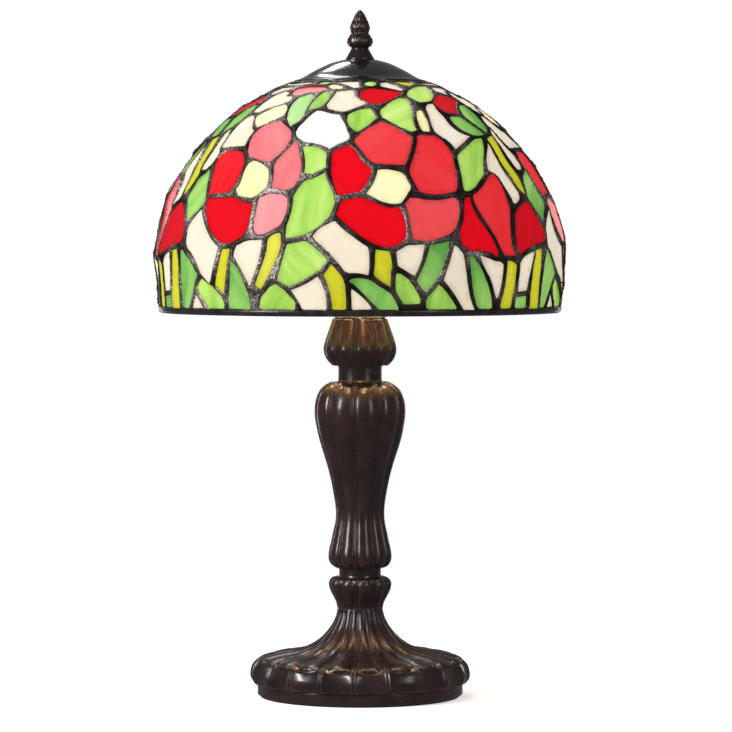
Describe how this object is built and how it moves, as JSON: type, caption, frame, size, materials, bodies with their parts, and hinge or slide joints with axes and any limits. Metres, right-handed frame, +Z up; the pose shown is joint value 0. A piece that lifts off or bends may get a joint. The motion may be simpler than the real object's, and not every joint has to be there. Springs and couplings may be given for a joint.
{
  "type": "stained glass table lamp",
  "caption": "Leaded glass dome shade with a floral pattern, on a lobed bronze column and round foot, with heat cap, finial, lamp holder and bulb.",
  "frame": {"origin": "centre of the underside of the foot, on the surface the lamp stands on", "axes": "+Z up the column, -Y towards the front and the switch, +Y towards the cord inlet"},
  "size_m": [0.3055, 0.3055, 0.507],
  "materials": {
    "dark_bronze": "semi-gloss antique bronze",
    "black_gloss": "gloss black",
    "solder": "dark patina lead",
    "steel": "zinc plated",
    "brass": "satin",
    "iron": "rough cast",
    "aluminium": "rolled",
    "felt": "felt",
    "black_plastic": "moulded",
    "fibre": "insulating fibre",
    "red_glass": "opalescent",
    "rose_glass": "opalescent",
    "yellow_glass": "opalescent",
    "cream_glass": "opalescent",
    "leaf_glass": "opalescent",
    "light_green_glass": "opalescent",
    "lime_glass": "opalescent",
    "bulb_glass": "frosted"
  },
  "bodies": {
    "base": {"foot_casting": "dark_bronze", "plinth_band": "dark_bronze", "ballast_weight": "iron", "base_plate": "steel", "plate_screws": "steel", "felt_pad": "felt", "cord_bushing": "black_plastic", "stem_tube": "steel", "foot_nut": "steel", "foot_washer": "steel", "bracket_nut": "steel", "foot_collar": "dark_bronze", "lower_neck": "dark_bronze", "baluster": "dark_bronze", "upper_neck": "dark_bronze", "top_cup": "dark_bronze", "cup_lid": "dark_bronze", "shade_bracket": "steel", "top_stud": "steel", "stud_nut": "steel", "jam_nut": "steel", "socket_cap": "brass", "socket_shell": "brass", "insulating_sleeve": "fibre", "socket_interior": "black_plastic", "contact_spring": "brass", "screw_shell": "brass"},
    "seat": {"seat_disc": "steel"},
    "shade": {"solder_net": "solder", "red_petal_glass": "red_glass", "rose_petal_glass": "rose_glass", "yellow_heart_glass": "yellow_glass", "cream_ground_glass": "cream_glass", "leaf_green_glass": "leaf_glass", "light_green_glass": "light_green_glass", "lime_stem_glass": "lime_glass", "rim_band": "solder", "crown_ring": "steel"},
    "cap": {"heat_cap": "black_gloss"},
    "finial_thread": {"finial_insert": "brass"},
    "finial": {"finial": "dark_bronze"},
    "bulb_thread": {"bulb_contact": "brass"},
    "bulb": {"bulb_base": "aluminium", "bulb_glass": "bulb_glass"},
    "switch": {"switch_shaft": "brass", "switch_knob": "black_plastic"}
  },
  "joints": [
    {"name": "shade_turn", "type": "hinge", "parent": "base", "child": "seat", "pos_m": [0, 0, 0.4547], "axis": [0, 0, 1], "continuous": true},
    {"name": "shade_lift", "type": "slide", "parent": "seat", "child": "shade", "axis": [0, 0, 1], "range_m": [0, 0.04]},
    {"name": "cap_lift", "type": "slide", "parent": "shade", "child": "cap", "axis": [0, 0, 1], "range_m": [0, 0.02]},
    {"name": "finial_lift", "type": "slide", "parent": "cap", "child": "finial_thread", "axis": [0, 0, 1], "range_m": [0, 0.0084]},
    {"name": "finial_turn", "type": "hinge", "parent": "finial_thread", "child": "finial", "pos_m": [0, 0, 0.4757], "axis": [0, 0, 1], "range_deg": [0, 3240]},
    {"name": "bulb_lift", "type": "slide", "parent": "base", "child": "bulb_thread", "axis": [0, 0, 1], "range_m": [0, 0.0145]},
    {"name": "bulb_turn", "type": "hinge", "parent": "bulb_thread", "child": "bulb", "pos_m": [0, 0, 0.338], "axis": [0, 0, 1], "range_deg": [0, 1440]},
    {"name": "switch_turn", "type": "hinge", "parent": "base", "child": "switch", "pos_m": [0, -0.03, 0.316], "axis": [0, -1, 0], "continuous": true}
  ],
  "couplings": [
    {"joint": "finial_turn", "follows": "finial_lift", "rad_per_m": 6679.3},
    {"joint": "bulb_turn", "follows": "bulb_lift", "rad_per_m": 1731.4}
  ]
}
